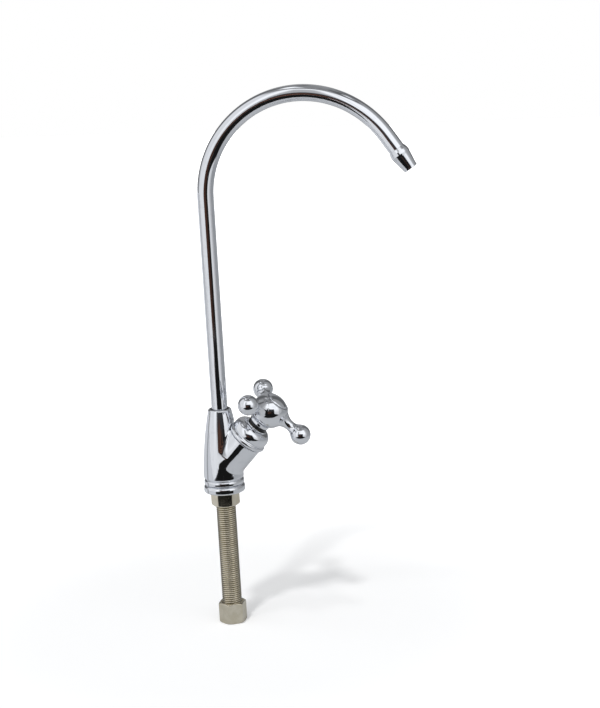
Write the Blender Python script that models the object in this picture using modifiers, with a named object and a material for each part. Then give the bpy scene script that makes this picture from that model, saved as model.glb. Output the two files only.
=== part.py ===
"""Reverse osmosis faucet: a small drinking water tap for a hole in a worktop.

The origin is the middle of the base ring's underside, where it stands on the worktop.
+Z runs up the spout tube, and +X points the way that the spout and the valve branch lean.
Everything is in metres. The valve's own pieces are modelled upright, with their height
counted along the valve axis from the point where it crosses the column's axis, and an
empty on that point leans them over.
"""
import math

import bmesh
import bpy
from mathutils import Vector

for leftover in list(bpy.data.objects):
    bpy.data.objects.remove(leftover, do_unlink=True)

# Fits between neighbouring pieces
GAP = 0.0003
RUNNING_GAP = 0.00012

# Spout: bent tube and its outlet
TUBE_RADIUS = 0.00475
TUBE_WALL = 0.0008
BEND_START = 0.1756
BEND_RADIUS = 0.05865
BEND_ANGLE = math.radians(145.4)
OUTLET_RUN = 0.0101
NOZZLE_RADIUS = 0.0057
NOZZLE_TIP_RADIUS = 0.0040
NOZZLE_LENGTH = 0.0135
NOZZLE_SHOULDER = 0.0032
NOZZLE_SOCKET = 0.0045
NOZZLE_LIP = 0.0008

# Column of the body
COLUMN_RADIUS = 0.0119
COLUMN_HEIGHT = 0.0506
COLUMN_OGIVE = 1.75
RIM_WALL = 0.0010
FOOT_BEAD_HEIGHT = 0.0031
FOOT_GROOVE = 0.0006

# Ring between the body and the worktop
BASE_RADIUS = 0.0123
BASE_HEIGHT = 0.0047
BASE_ROUNDING = 0.0019
FOOT_SPIGOT_RADIUS = 0.0090
GASKET_THICKNESS = 0.0014

# Swivel joint of the spout
SOCKET_DEPTH = 0.0156
BUSH_WALL = 0.00065
BUSH_LENGTH = 0.0045
SPIGOT_NOSE = 0.0047
SPIGOT_WATERWAY = 0.0024
CLIP_THICKNESS = 0.0007
CLIP_WIDTH = 0.0015
CLIP_OPENING = 0.0040
SPOUT_SEAL_CORD = 0.00055
SPOUT_SEAL_PITCH = 0.0028

# Threaded shank, its nuts and the waterways
SHANK_RADIUS = 0.0059
SHANK_LENGTH = 0.0770
SHANK_ENGAGEMENT = 0.0085
SHANK_BORE = 0.0026
SUPPLY_TUBE_RADIUS = 0.0032
SUPPLY_TUBE_DEPTH = 0.0150
NUT_WALL = 0.0013
MOUNTING_NUT_HEIGHT = 0.0085
MOUNTING_NUT_TURN = math.radians(12)
COMPRESSION_NUT_HEIGHT = 0.0127
COMPRESSION_NUT_FLOOR = 0.0024
COMPRESSION_NUT_TURN = math.radians(27)
NUT_COUNTERSINK = 0.0009
SLEEVE_LENGTH = 0.0030
INLET_RADIUS = 0.0026
OUTLET_RADIUS = 0.0020
OUTLET_OFFSET = 0.0020

# Valve branch
VALVE_TILT = math.radians(42)
VALVE_BELOW_SOCKET = 0.0196
BRANCH_RADIUS = 0.0112
BRANCH_LENGTH = 0.0218
BRANCH_WALL = 0.0025
THREAD_LENGTH = 0.0036
THREAD_STEP = 0.0011
CHAMBER_FLOOR = 0.0105

# Bonnet over the valve
BONNET_RADIUS = 0.0123
BONNET_BEAD = 0.0030
BONNET_DOME = 0.0115
BONNET_HEIGHT = 0.0110
BONNET_WALL = 0.0018
BONNET_TOP_RADIUS = 0.0069

# Cartridge in the branch
HOUSING_ANNULUS = 0.0009
HOUSING_WALL = 0.0009
FLANGE_BOTTOM = 0.0185
WINDOW_WIDTH = 0.0040
WINDOW_HEIGHT = 0.0022
SEAL_HEIGHT = 0.0014
SEAL_WALL = 0.0010
DISC_THICKNESS = 0.0018
DISC_PORT_RADIUS = 0.0014
DISC_PORT_PITCH = 0.0036
DISC_NOTCH_RADIUS = 0.0019
NECK_WALL = 0.0013
HOUSING_SEAL_CORD = 0.0006
STEM_RADIUS = 0.0035
STEM_PLATE = 0.0012
TONGUE_WIDTH = 0.0026
TONGUE_DEPTH = 0.0007
STEM_SEAL_CORD = 0.00045
STEM_SQUARE = 0.0050
STEM_CLIP_THICKNESS = 0.0006
BLACK_BAND = 0.0015

# Handle
SKIRT_RADIUS = 0.0064
SKIRT_HEIGHT = 0.0024
SKIRT_GROOVE = 0.0003
SKIRT_TO_CENTRE = 0.0104
HUB_RADIUS = 0.0107
HUB_WEB = 0.0022
ARM_COUNT = 3
ARM_REACH = 0.0230
ARM_RISE = 0.0007
ARM_NECK_RADIUS = 0.0030
ARM_NECK_PLACE = 0.0150
ARM_ROOT_RADIUS = 0.0050
BALL_RADIUS = 0.0060
BUTTON_RADIUS = 0.0066
BUTTON_CROWN = 0.0019
BUTTON_PLUG = 0.0040
SCREW_RADIUS = 0.0019
SCREW_HEAD_RADIUS = 0.0035
SCREW_HEAD_HEIGHT = 0.0022
SCREW_LENGTH = 0.0095

# Heights and radii that follow from the sizes above
RIM_RADIUS = TUBE_RADIUS + RUNNING_GAP + BUSH_WALL + GAP + RIM_WALL
SOCKET_RADIUS = TUBE_RADIUS + RUNNING_GAP + 0.4 * BUSH_WALL
SOCKET_FLOOR = COLUMN_HEIGHT - SOCKET_DEPTH
VALVE_CROSSING = SOCKET_FLOOR - VALVE_BELOW_SOCKET
BUSH_RADIUS = TUBE_RADIUS + RUNNING_GAP + BUSH_WALL
BUSH_TOP = COLUMN_HEIGHT - GAP
BUSH_BOTTOM = BUSH_TOP - BUSH_LENGTH
FOOT_BOTTOM = BASE_HEIGHT + GAP
COLUMN_FOOT = FOOT_BOTTOM + FOOT_BEAD_HEIGHT + FOOT_GROOVE
SHANK_TOP = SHANK_ENGAGEMENT
SHANK_BOTTOM = -SHANK_LENGTH
SHANK_HOLE = SHANK_RADIUS + GAP
NUT_ACROSS_FLATS = 2 * (SHANK_HOLE + NUT_WALL)
COMPRESSION_NUT_BOTTOM = SHANK_BOTTOM - SLEEVE_LENGTH - COMPRESSION_NUT_FLOOR
CHAMBER_RADIUS = BRANCH_RADIUS - BRANCH_WALL
THREAD_RADIUS = BRANCH_RADIUS - THREAD_STEP
BRANCH_END = BRANCH_LENGTH + THREAD_LENGTH
FLANGE_RADIUS = CHAMBER_RADIUS - GAP
FLANGE_TOP = BRANCH_END - GAP
HOUSING_RADIUS = FLANGE_RADIUS - HOUSING_ANNULUS
CAVITY_RADIUS = HOUSING_RADIUS - HOUSING_WALL
DISC_RADIUS = CAVITY_RADIUS - RUNNING_GAP
SEAL_BOTTOM = CHAMBER_FLOOR + GAP
HOUSING_BOTTOM = SEAL_BOTTOM + GAP
FIXED_DISC_BOTTOM = SEAL_BOTTOM + SEAL_HEIGHT + RUNNING_GAP
MOVING_DISC_BOTTOM = FIXED_DISC_BOTTOM + DISC_THICKNESS + RUNNING_GAP
PLATE_BOTTOM = MOVING_DISC_BOTTOM + DISC_THICKNESS + RUNNING_GAP
PLATE_TOP = PLATE_BOTTOM + STEM_PLATE
NECK_RADIUS = STEM_RADIUS + RUNNING_GAP + NECK_WALL
BONNET_BOTTOM = BRANCH_LENGTH + GAP
BONNET_TOP = BONNET_BOTTOM + BONNET_HEIGHT
BAND_BOTTOM = BONNET_TOP + GAP
BAND_TOP = BAND_BOTTOM + BLACK_BAND
NECK_TOP = BAND_TOP
SKIRT_BOTTOM = BAND_TOP + GAP
HUB_CENTRE = SKIRT_BOTTOM + SKIRT_TO_CENTRE
CLIP_SEAT = NECK_TOP + GAP
STEM_TOP = HUB_CENTRE - 0.5 * HUB_WEB - GAP
SCREW_SEAT = HUB_CENTRE + 0.5 * HUB_WEB + GAP

# Places in the swivel joint, counted up from the socket's floor
SPIGOT_BOTTOM = SOCKET_FLOOR + GAP
LOWER_SEAL_HEIGHT = SPIGOT_BOTTOM + 2.4 * SPOUT_SEAL_CORD
UPPER_SEAL_HEIGHT = LOWER_SEAL_HEIGHT + SPOUT_SEAL_PITCH
CLIP_BOTTOM = UPPER_SEAL_HEIGHT + 2.6 * SPOUT_SEAL_CORD + GAP
SPIGOT_SHOULDER = CLIP_BOTTOM + CLIP_THICKNESS + 5 * GAP
SPIGOT_RADIUS = TUBE_RADIUS
SEAL_MIDDLE = SOCKET_RADIUS - SPOUT_SEAL_CORD - 0.5 * RUNNING_GAP
OUTLET_BOTTOM = VALVE_CROSSING + 0.7 * (SOCKET_FLOOR - VALVE_CROSSING)

# Floor of the recess that the button sits in, above the hub's middle
BUTTON_SEAT = math.sqrt(HUB_RADIUS ** 2 - BUTTON_RADIUS ** 2) - 0.22 * BUTTON_RADIUS

parts = bpy.data.collections.new("reverse_osmosis_faucet")
cutters = bpy.data.collections.new("cutters")
for group in (parts, cutters):
    bpy.context.scene.collection.children.link(group)

FINISHES = {
    "chrome": ((0.80, 0.81, 0.83), 1.0, 0.05),
    "nickel": ((0.56, 0.52, 0.44), 1.0, 0.28),
    "brass": ((0.71, 0.55, 0.28), 1.0, 0.30),
    "rubber": ((0.02, 0.02, 0.02), 0.0, 0.65),
    "black_plastic": ((0.015, 0.015, 0.017), 0.0, 0.35),
    "ceramic": ((0.86, 0.84, 0.80), 0.0, 0.15),
    "spring_steel": ((0.45, 0.45, 0.47), 1.0, 0.30),
}


def dress(piece, finish):
    """Give a piece its own Principled material in one of the finishes."""
    colour, metallic, roughness = FINISHES[finish]
    material = bpy.data.materials.new(piece.name + "_" + finish)
    material.use_nodes = True
    shader = material.node_tree.nodes["Principled BSDF"]
    shader.inputs["Base Color"].default_value = (*colour, 1.0)
    shader.inputs["Metallic"].default_value = metallic
    shader.inputs["Roughness"].default_value = roughness
    piece.data.materials.append(material)


def place(name, mesh, parent=None, finish=None):
    """Make the object: a part when it has a finish, otherwise a hidden cutter."""
    piece = bpy.data.objects.new(name, mesh)
    piece.parent = parent
    if finish:
        parts.objects.link(piece)
        dress(piece, finish)
    else:
        cutters.objects.link(piece)
        piece.hide_render = True
        piece.display_type = "WIRE"
    return piece


def axis_empty(name, location=(0, 0, 0), tilt=0.0):
    """An empty that carries the pieces of one axis, tilted from +Z towards +X."""
    empty = bpy.data.objects.new(name, None)
    empty.location = location
    empty.rotation_euler = (0, tilt, 0)
    parts.objects.link(empty)
    return empty


def arc(centre, radius, start, end, steps):
    """Points (radius, height) on a circle, from the start angle to the end angle in degrees."""
    points = []
    for step in range(steps + 1):
        angle = math.radians(start + (end - start) * step / steps)
        points.append((centre[0] + radius * math.cos(angle), centre[1] + radius * math.sin(angle)))
    return points


def turned(name, profile, parent=None, finish=None, steps=32, closed=True):
    """A lathe piece: the profile runs down the outer side, then up the bore if it has one."""
    mesh = bpy.data.meshes.new(name)
    edges = [(i, i + 1) for i in range(len(profile) - 1)]
    if closed:
        edges.append((len(profile) - 1, 0))
    mesh.from_pydata([(radius, 0, height) for radius, height in profile], edges, [])
    piece = place(name, mesh, parent, finish)
    screw = piece.modifiers.new("Turn", "SCREW")
    screw.axis = "Z"
    screw.steps = steps
    screw.render_steps = steps
    screw.use_merge_vertices = True
    screw.merge_threshold = 0.000002
    screw.use_smooth_shade = False
    return piece


def rod(name, radius, bottom, top, parent=None, finish=None, steps=24):
    """A plain cylinder, mostly used to bore a hole."""
    profile = [(0, top), (radius, top), (radius, bottom), (0, bottom)]
    return turned(name, profile, parent, finish, steps, closed=False)


def ring(name, outer, inner, bottom, top, parent=None, finish=None, steps=32):
    """A flat ring with square edges."""
    profile = [(outer, top), (outer, bottom), (inner, bottom), (inner, top)]
    return turned(name, profile, parent, finish, steps)


def seal_ring(name, middle_radius, cord_radius, height, parent, finish="rubber"):
    """An O-ring: a round cord turned about the axis."""
    profile = arc((middle_radius, height), cord_radius, 90, -270, 6)[:-1]
    return turned(name, profile, parent, finish, steps=20)


def block(name, size, location, parent=None, finish=None):
    """A box of the given size about its own middle."""
    mesh = bpy.data.meshes.new(name)
    shape = bmesh.new()
    bmesh.ops.create_cube(shape, size=1)
    bmesh.ops.scale(shape, vec=Vector(size), verts=shape.verts)
    shape.to_mesh(mesh)
    shape.free()
    piece = place(name, mesh, parent, finish)
    piece.location = location
    return piece


def combine(piece, tool, operation="DIFFERENCE"):
    """Add a live Boolean modifier."""
    step = piece.modifiers.new(operation.title() + " " + tool.name, "BOOLEAN")
    step.operation = operation
    step.solver = "EXACT"
    step.object = tool


def shade_round(piece, angle=math.radians(35)):
    """Smooth shading that keeps the sharp edges of an applied mesh."""
    piece.data.shade_smooth()
    piece.data.set_sharp_from_angle(angle=angle)


column_axis = axis_empty("column_axis")
spout_axis = axis_empty("spout_axis")
valve_axis = axis_empty("valve_axis", (0, 0, VALVE_CROSSING), VALVE_TILT)
handle_axis = axis_empty("handle_axis", (0, 0, VALVE_CROSSING), VALVE_TILT)


def column_outline():
    """Outer profile of the column: rounded rim, ogive, and the bead round its foot."""
    rim_round = 0.4 * RIM_WALL
    drop = COLUMN_RADIUS - RIM_RADIUS
    top = COLUMN_HEIGHT - rim_round
    outline = arc((RIM_RADIUS - rim_round, top), rim_round, 90, 0, 3)
    for step in range(1, 10):
        share = 1 - step / 9
        height = COLUMN_FOOT + share * (top - COLUMN_FOOT)
        outline.append((COLUMN_RADIUS - drop * share ** COLUMN_OGIVE, height))
    bead = 0.5 * FOOT_BEAD_HEIGHT
    groove = COLUMN_RADIUS - FOOT_GROOVE
    outline.append((groove, COLUMN_FOOT - 0.6 * FOOT_GROOVE))
    outline += arc((COLUMN_RADIUS - bead, FOOT_BOTTOM + bead), bead, 75, -75, 4)
    outline.append((groove - FOOT_GROOVE, FOOT_BOTTOM))
    outline.append((FOOT_SPIGOT_RADIUS, FOOT_BOTTOM))
    outline.append((FOOT_SPIGOT_RADIUS, GASKET_THICKNESS + GAP))
    return outline


def make_body():
    """One casting: the column, the valve branch, and the bores that join them."""
    profile = [(0, COLUMN_HEIGHT)] + column_outline() + [(0, GASKET_THICKNESS + GAP)]
    body = turned("valve_body", profile, column_axis, "chrome", steps=32, closed=False)

    spot_face = rod(
        "bonnet_clearance",
        BONNET_RADIUS + GAP,
        BRANCH_LENGTH,
        BRANCH_END + BONNET_HEIGHT,
        valve_axis,
        steps=38,
    )
    combine(body, spot_face)
    branch = turned(
        "branch",
        [
            (0, BRANCH_END),
            (THREAD_RADIUS - 0.4 * THREAD_STEP, BRANCH_END),
            (THREAD_RADIUS, BRANCH_END - 0.4 * THREAD_STEP),
            (THREAD_RADIUS, BRANCH_LENGTH),
            (BRANCH_RADIUS, BRANCH_LENGTH),
            (BRANCH_RADIUS, 0),
            (0, 0),
        ],
        valve_axis,
        steps=36,
        closed=False,
    )
    base_room = rod("base_room", 2 * COLUMN_RADIUS, -COLUMN_HEIGHT, FOOT_BOTTOM + GAP, column_axis)
    combine(branch, base_room)
    combine(body, branch, "UNION")

    socket = rod("spout_socket", SOCKET_RADIUS, SOCKET_FLOOR, COLUMN_HEIGHT + GAP, column_axis, steps=28)
    above = COLUMN_HEIGHT + 2 * GAP
    bush_seat = rod("bush_seat", BUSH_RADIUS + GAP, BUSH_BOTTOM - GAP, above, column_axis, steps=32)
    clip_seat = rod(
        "clip_seat",
        SOCKET_RADIUS + 0.6 * CLIP_WIDTH,
        CLIP_BOTTOM - GAP,
        CLIP_BOTTOM + CLIP_THICKNESS + GAP,
        column_axis,
    )
    chamber = rod("valve_chamber", CHAMBER_RADIUS, CHAMBER_FLOOR, BRANCH_END + GAP, valve_axis, steps=32)
    inlet = rod("inlet_rise", INLET_RADIUS, -GAP, VALVE_CROSSING, column_axis, steps=16)
    inlet_branch = rod("inlet_to_seat", INLET_RADIUS * 0.98, 0, CHAMBER_FLOOR + GAP, valve_axis, steps=16)
    outlet = rod("outlet_rise", OUTLET_RADIUS, OUTLET_BOTTOM, SOCKET_FLOOR + GAP, column_axis, steps=16)
    outlet.location.x = OUTLET_OFFSET
    shank_hole = rod("shank_hole", SHANK_HOLE, -GAP, SHANK_TOP + GAP, column_axis)
    for hole in (socket, bush_seat, clip_seat, chamber, inlet, inlet_branch, outlet, shank_hole):
        combine(body, hole)
    return body


def make_base():
    """The chromed ring under the body, with the rubber gasket inside it."""
    rounding = BASE_ROUNDING
    outline = arc((BASE_RADIUS - rounding, BASE_HEIGHT - rounding), rounding, 80, 0, 3)
    outline += arc((BASE_RADIUS - rounding, rounding), rounding, 0, -90, 3)
    inner = FOOT_SPIGOT_RADIUS + GAP
    outline += [(inner, 0), (inner, BASE_HEIGHT)]
    outline.append((BASE_RADIUS - 1.5 * rounding, BASE_HEIGHT))
    turned("base_ring", outline, column_axis, "chrome", steps=32)
    ring("base_gasket", FOOT_SPIGOT_RADIUS, SHANK_HOLE, 0, GASKET_THICKNESS, column_axis, "rubber")


def make_shank():
    """The hollow threaded shank, wide at the bottom where the supply tube goes in."""
    chamfer = 0.12 * SHANK_RADIUS
    tube_seat = SHANK_BOTTOM + SUPPLY_TUBE_DEPTH
    profile = [
        (SHANK_RADIUS - chamfer, SHANK_TOP),
        (SHANK_RADIUS, SHANK_TOP - chamfer),
        (SHANK_RADIUS, SHANK_BOTTOM + chamfer),
        (SHANK_RADIUS - chamfer, SHANK_BOTTOM),
        (SUPPLY_TUBE_RADIUS + 2 * chamfer, SHANK_BOTTOM),
        (SUPPLY_TUBE_RADIUS, SHANK_BOTTOM + 2 * chamfer),
        (SUPPLY_TUBE_RADIUS, tube_seat),
        (SHANK_BORE, tube_seat + chamfer),
        (SHANK_BORE, SHANK_TOP),
    ]
    turned("threaded_shank", profile, column_axis, "nickel", steps=32)


def hex_nut(name, bottom, top, turn, bore_profile, chamfer_top, chamfer_bottom):
    """A hexagon bar cut by a lathe shape that holds the bore and the end chamfers."""
    corner = 0.5 * NUT_ACROSS_FLATS / math.cos(math.pi / 6)
    mesh = bpy.data.meshes.new(name)
    shape = bmesh.new()
    bmesh.ops.create_cone(
        shape, cap_ends=True, segments=6, radius1=corner, radius2=corner, depth=top - bottom
    )
    bmesh.ops.translate(shape, vec=(0, 0, 0.5 * (top + bottom)), verts=shape.verts)
    shape.to_mesh(mesh)
    shape.free()
    nut = place(name, mesh, column_axis, "nickel")
    nut.rotation_euler.z = turn
    soften = nut.modifiers.new("Soft corners", "BEVEL")
    soften.width = 0.06 * corner
    soften.segments = 2
    soften.limit_method = "ANGLE"
    soften.angle_limit = math.radians(50)
    face = 0.5 * NUT_ACROSS_FLATS - 0.05 * corner
    outer = 1.02 * corner
    rise = 0.55 * (outer - face)
    lathe_profile = [
        (face, top + GAP) if chamfer_top else (outer, top + GAP),
        (outer, top + GAP - rise),
        (outer, bottom - GAP + rise),
        (face, bottom - GAP) if chamfer_bottom else (outer, bottom - GAP),
    ]
    lathe = turned(name + "_lathe", lathe_profile + bore_profile, column_axis, steps=36)
    combine(nut, lathe, "INTERSECT")
    return nut


def make_nuts():
    """The mounting nut run up under the base, and the compression nut with its sleeve."""
    top = -GAP
    bottom = top - MOUNTING_NUT_HEIGHT
    bore = [(SHANK_HOLE, bottom - GAP), (SHANK_HOLE, top + GAP)]
    hex_nut("mounting_nut", bottom, top, MOUNTING_NUT_TURN, bore, False, True)

    bottom = COMPRESSION_NUT_BOTTOM
    top = bottom + COMPRESSION_NUT_HEIGHT
    floor = bottom + COMPRESSION_NUT_FLOOR
    bore = [
        (SUPPLY_TUBE_RADIUS + GAP, bottom - GAP),
        (SUPPLY_TUBE_RADIUS + GAP, floor),
        (SHANK_HOLE, floor + 0.3 * SLEEVE_LENGTH),
        (SHANK_HOLE, top - NUT_COUNTERSINK),
        (SHANK_HOLE + 0.8 * NUT_COUNTERSINK, top + GAP),
    ]
    hex_nut("compression_nut", bottom, top, COMPRESSION_NUT_TURN, bore, True, True)

    sleeve_bottom = floor + GAP
    sleeve_top = SHANK_BOTTOM - GAP
    sleeve_bore = SUPPLY_TUBE_RADIUS + 0.3 * GAP
    sleeve_end = sleeve_bore + 2 * GAP
    sleeve_middle = 0.5 * (sleeve_bore + SHANK_RADIUS)
    profile = [
        (sleeve_end, sleeve_top),
        (sleeve_middle, sleeve_top - 0.4 * SLEEVE_LENGTH),
        (sleeve_middle, sleeve_bottom + 0.25 * SLEEVE_LENGTH),
        (sleeve_end + GAP, sleeve_bottom),
        (sleeve_bore, sleeve_bottom),
        (sleeve_bore, sleeve_top),
    ]
    turned("compression_sleeve", profile, column_axis, "brass", steps=24)


def spout_path(start):
    """The tube's centre line: straight up, round the bend, and straight down to the outlet."""
    middle = Vector((BEND_RADIUS, 0, BEND_START))
    points = [Vector((0, 0, start)), Vector((0, 0, 0.5 * (start + BEND_START)))]
    steps = 24
    for step in range(steps + 1):
        angle = BEND_ANGLE * step / steps
        points.append(middle + BEND_RADIUS * Vector((-math.cos(angle), 0, math.sin(angle))))
    return points


def outlet_direction():
    """The way the water leaves: along the end of the bend."""
    return Vector((math.sin(BEND_ANGLE), 0, math.cos(BEND_ANGLE)))


def swept(name, points, radius, sides, finish=None):
    """A round bar along a path, made a mesh and welded shut."""
    curve = bpy.data.curves.new(name + "_path", "CURVE")
    curve.dimensions = "3D"
    curve.bevel_depth = radius
    curve.bevel_resolution = (sides - 4) // 2
    curve.use_fill_caps = True
    line = curve.splines.new("POLY")
    line.points.add(len(points) - 1)
    for spot, point in zip(line.points, points):
        spot.co = (*point, 1)
    guide = bpy.data.objects.new(name + "_path", curve)
    cutters.objects.link(guide)
    bpy.context.view_layer.update()
    graph = bpy.context.evaluated_depsgraph_get()
    mesh = bpy.data.meshes.new_from_object(guide.evaluated_get(graph))
    mesh.name = name
    shape = bmesh.new()
    shape.from_mesh(mesh)
    bmesh.ops.remove_doubles(shape, verts=shape.verts, dist=0.000002)
    bmesh.ops.recalc_face_normals(shape, faces=shape.faces)
    shape.to_mesh(mesh)
    shape.free()
    bar = place(name, mesh, spout_axis, finish)
    bar.matrix_world = guide.matrix_world
    bpy.data.objects.remove(guide)
    bpy.data.curves.remove(curve)
    return bar


def make_spout():
    """The bent tube with its outlet nozzle, which turn on the spigot in the column."""
    path = spout_path(SPIGOT_SHOULDER + GAP)
    end = path[-1] + (OUTLET_RUN + NOZZLE_SOCKET) * outlet_direction()
    tube = swept("spout_tube", path + [end], TUBE_RADIUS, 20, "chrome")
    overshoot = GAP * outlet_direction()
    bore_path = [path[0] - Vector((0, 0, GAP))] + path[1:] + [end + overshoot]
    bore = swept("tube_bore", bore_path, TUBE_RADIUS - TUBE_WALL, 12)
    combine(tube, bore)
    shade_round(tube)

    nozzle_axis = axis_empty("nozzle_axis", path[-1] + OUTLET_RUN * outlet_direction(), BEND_ANGLE)
    nozzle_axis.parent = spout_axis
    waterway = TUBE_RADIUS - TUBE_WALL - GAP
    shoulder_round = 0.3 * NOZZLE_SHOULDER
    seat = TUBE_RADIUS + RUNNING_GAP
    profile = [
        (NOZZLE_TIP_RADIUS - 0.3 * NOZZLE_LIP, NOZZLE_LENGTH),
        (NOZZLE_TIP_RADIUS, NOZZLE_LENGTH - 0.3 * NOZZLE_LIP),
        (NOZZLE_TIP_RADIUS + 0.1 * NOZZLE_LIP, NOZZLE_LENGTH - NOZZLE_LIP),
        (NOZZLE_RADIUS - 0.1 * NOZZLE_LIP, NOZZLE_SHOULDER + 2.2 * shoulder_round),
        (NOZZLE_RADIUS, NOZZLE_SHOULDER + shoulder_round),
        (NOZZLE_RADIUS - 0.1 * NOZZLE_LIP, NOZZLE_SHOULDER),
        (0.5 * (NOZZLE_RADIUS + seat) + GAP, 0.4 * NOZZLE_SHOULDER),
        (seat + GAP, 0),
        (seat, 0),
        (seat, NOZZLE_SOCKET + GAP),
        (waterway, NOZZLE_SOCKET + GAP),
        (NOZZLE_TIP_RADIUS - 1.2 * NOZZLE_LIP, NOZZLE_LENGTH - 2 * NOZZLE_LIP),
        (NOZZLE_TIP_RADIUS - NOZZLE_LIP, NOZZLE_LENGTH),
    ]
    turned("spout_nozzle", profile, nozzle_axis, "chrome", steps=28)


def make_swivel():
    """The brass spigot under the tube, its two seals, the clip that keeps it, and the bush."""
    groove = SEAL_MIDDLE - SPOUT_SEAL_CORD - 0.5 * RUNNING_GAP
    half_groove = 1.35 * SPOUT_SEAL_CORD
    nose = TUBE_RADIUS - TUBE_WALL - GAP
    clip_groove = SPIGOT_RADIUS - 0.5 * CLIP_WIDTH
    profile = [
        (nose, SPIGOT_SHOULDER + SPIGOT_NOSE),
        (nose, SPIGOT_SHOULDER),
        (SPIGOT_RADIUS, SPIGOT_SHOULDER),
        (SPIGOT_RADIUS, CLIP_BOTTOM + CLIP_THICKNESS + GAP),
        (clip_groove, CLIP_BOTTOM + CLIP_THICKNESS + GAP),
        (clip_groove, CLIP_BOTTOM - GAP),
        (SPIGOT_RADIUS, CLIP_BOTTOM - GAP),
    ]
    for height in (UPPER_SEAL_HEIGHT, LOWER_SEAL_HEIGHT):
        profile += [
            (SPIGOT_RADIUS, height + half_groove),
            (groove, height + half_groove),
            (groove, height - half_groove),
            (SPIGOT_RADIUS, height - half_groove),
        ]
    profile += [
        (SPIGOT_RADIUS, SPIGOT_BOTTOM),
        (SPIGOT_WATERWAY, SPIGOT_BOTTOM),
        (SPIGOT_WATERWAY, SPIGOT_SHOULDER + SPIGOT_NOSE),
    ]
    turned("spout_spigot", profile, spout_axis, "brass", steps=20)
    seal_ring("spout_seal_lower", SEAL_MIDDLE, SPOUT_SEAL_CORD, LOWER_SEAL_HEIGHT, spout_axis)
    seal_ring("spout_seal_upper", SEAL_MIDDLE, SPOUT_SEAL_CORD, UPPER_SEAL_HEIGHT, spout_axis)

    inner = clip_groove + RUNNING_GAP
    outer = SOCKET_RADIUS + 0.6 * CLIP_WIDTH - GAP
    clip_top = CLIP_BOTTOM + CLIP_THICKNESS
    clip = ring("spout_clip", outer, inner, CLIP_BOTTOM, clip_top, column_axis, "spring_steel", 24)
    gap_cut = block(
        "clip_opening",
        (2 * outer, CLIP_OPENING, 3 * CLIP_THICKNESS),
        (-outer, 0, CLIP_BOTTOM),
        column_axis,
    )
    combine(clip, gap_cut)
    running_bore = TUBE_RADIUS + RUNNING_GAP
    ring("spout_bush", BUSH_RADIUS, running_bore, BUSH_BOTTOM, BUSH_TOP, column_axis, "black_plastic")


def make_bonnet():
    """The domed cover screwed over the branch, with a bead round its foot and a small rim on top."""
    bead = 0.5 * BONNET_BEAD
    groove = BONNET_BOTTOM + BONNET_BEAD + 0.3 * bead
    shoulder = groove + bead
    rim = 0.05 * BONNET_HEIGHT
    outline = [
        (NECK_RADIUS + GAP + rim, BONNET_TOP),
        (BONNET_TOP_RADIUS, BONNET_TOP),
        (BONNET_TOP_RADIUS, BONNET_TOP - rim),
    ]
    rise = BONNET_TOP - rim - shoulder
    spread = BONNET_DOME - BONNET_TOP_RADIUS
    for step in range(1, 7):
        angle = math.radians(90 * step / 6)
        outline.append((BONNET_TOP_RADIUS + spread * math.sin(angle), shoulder + rise * math.cos(angle)))
    outline.append((BONNET_DOME - 0.3 * bead, groove))
    outline += arc((BONNET_RADIUS - bead, BONNET_BOTTOM + bead), bead, 60, -75, 4)
    seat = THREAD_RADIUS + GAP
    ceiling = BRANCH_END + GAP
    neck_hole = NECK_RADIUS + GAP
    shelf = FLANGE_RADIUS - 2 * GAP
    crown = BONNET_TOP - BONNET_WALL
    outline += [
        (seat, BONNET_BOTTOM),
        (seat, ceiling),
        (shelf, ceiling),
        (shelf, ceiling + 0.4 * (crown - ceiling)),
        (neck_hole, crown),
        (neck_hole, BONNET_TOP),
    ]
    turned("bonnet", outline, valve_axis, "chrome", steps=32)


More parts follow.
